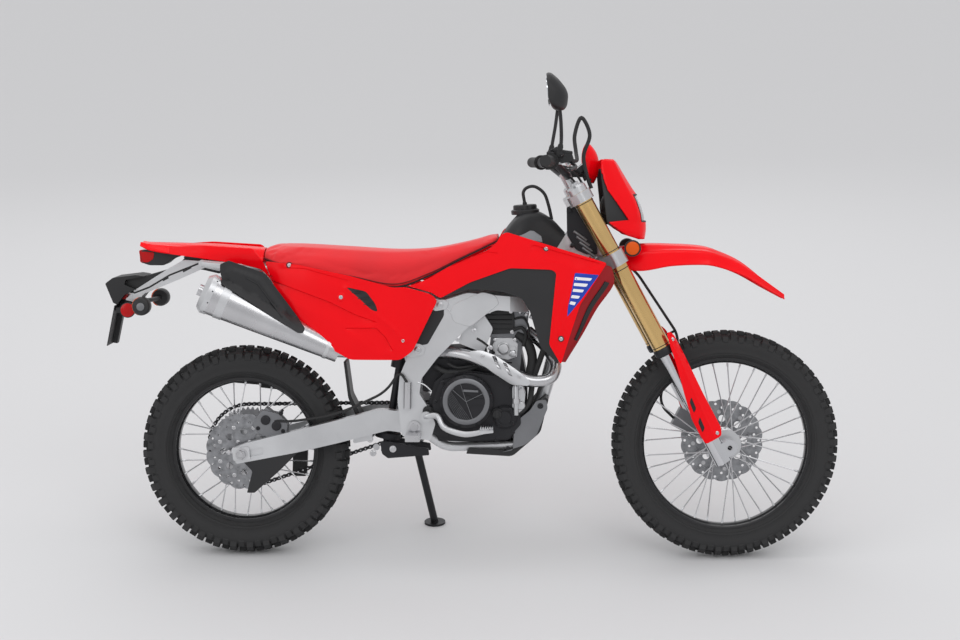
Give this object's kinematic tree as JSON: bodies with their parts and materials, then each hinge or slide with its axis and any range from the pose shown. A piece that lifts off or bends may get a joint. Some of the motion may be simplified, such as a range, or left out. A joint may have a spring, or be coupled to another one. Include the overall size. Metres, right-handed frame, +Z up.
{
  "type": "dual sport motorcycle",
  "caption": "Dual sport motorcycle with spoked wheels, tall fork, high fender and side silencer, leaning on its side stand.",
  "frame": {"origin": "on the floor under the middle of the parked motorcycle's bounding box", "axes": "+X forward, +Y to the rider's left, +Z up; the motorcycle leans to its left on the side stand"},
  "size_m": [2.2816, 0.8178, 1.534],
  "materials": {
    "black_plastic": "matte",
    "cast_alloy": "satin",
    "chrome": "polished",
    "dark_alloy": "satin",
    "frame_silver": "satin",
    "gold_tube": "satin",
    "grey_cast": "satin",
    "grip_rubber": "matte",
    "lamp_clear": "gloss",
    "lamp_red": "gloss",
    "red_gloss": "gloss",
    "red_seat": "matte",
    "rim_black": "gloss",
    "steel": "satin",
    "tyre_rubber": "matte"
  },
  "bodies": {
    "chassis": {"main_frame": "frame_silver", "subframe": "frame_silver", "swingarm": "cast_alloy", "pivot_bolt": "steel", "rear_suspension": "dark_alloy", "engine_cases": "dark_alloy", "engine_covers": "dark_alloy", "engine_top": "grey_cast", "drive_sprocket": "steel", "exhaust_pipe": "steel", "silencer": "steel", "exhaust_shields": "black_plastic", "radiators": "grey_cast", "fuel_tank": "black_plastic", "seat": "red_seat", "side_panels": "red_gloss", "shrouds": "red_gloss", "inner_covers": "black_plastic", "rear_fender": "red_gloss", "tail_light": "lamp_red", "plate_bracket": "black_plastic", "skid_plate": "black_plastic", "foot_controls": "steel", "chain": "steel", "chain_guard": "black_plastic", "rear_caliper": "grey_cast", "rear_axle": "steel", "hoses": "grip_rubber"},
    "steering": {"triple_clamps": "cast_alloy", "fork_tubes": "gold_tube", "fork_legs": "chrome", "fork_guards": "red_gloss", "handlebar": "dark_alloy", "grips": "grip_rubber", "hand_controls": "dark_alloy", "headlight_cowl": "red_gloss", "headlight": "lamp_clear", "meter": "red_gloss", "front_fender": "red_gloss", "front_caliper": "grey_cast", "mirrors": "black_plastic", "front_axle": "steel", "front_brake_hose": "grip_rubber"},
    "front_wheel": {"front_tyre": "tyre_rubber", "front_rim": "rim_black", "front_hub": "cast_alloy", "front_spokes": "steel", "front_disc": "steel"},
    "rear_wheel": {"rear_tyre": "tyre_rubber", "rear_rim": "rim_black", "rear_hub": "cast_alloy", "rear_spokes": "steel", "rear_disc": "steel", "sprocket": "steel"},
    "side_stand": {"side_stand": "dark_alloy"}
  },
  "joints": [
    {"name": "rear_wheel_spin", "type": "hinge", "parent": "chassis", "child": "rear_wheel", "pos_m": [-0.71337, -0.15481, 0.32534], "axis": [0, 0.9848, -0.1736], "continuous": true},
    {"name": "steering_turn", "type": "hinge", "parent": "chassis", "child": "steering", "pos_m": [0.7339, -0.15537, 0.32215], "axis": [-0.4762, 0.1527, 0.866], "range_deg": [-47, 39]},
    {"name": "front_wheel_spin", "type": "hinge", "parent": "steering", "child": "front_wheel", "pos_m": [0.78653, -0.1463, 0.34949], "axis": [-0.0613, 0.9766, -0.2059], "continuous": true},
    {"name": "side_stand_swing", "type": "hinge", "parent": "chassis", "child": "side_stand", "pos_m": [-0.19584, -0.01536, 0.32149], "axis": [0.0002, 1, 0], "range_deg": [0, 132]}
  ]
}
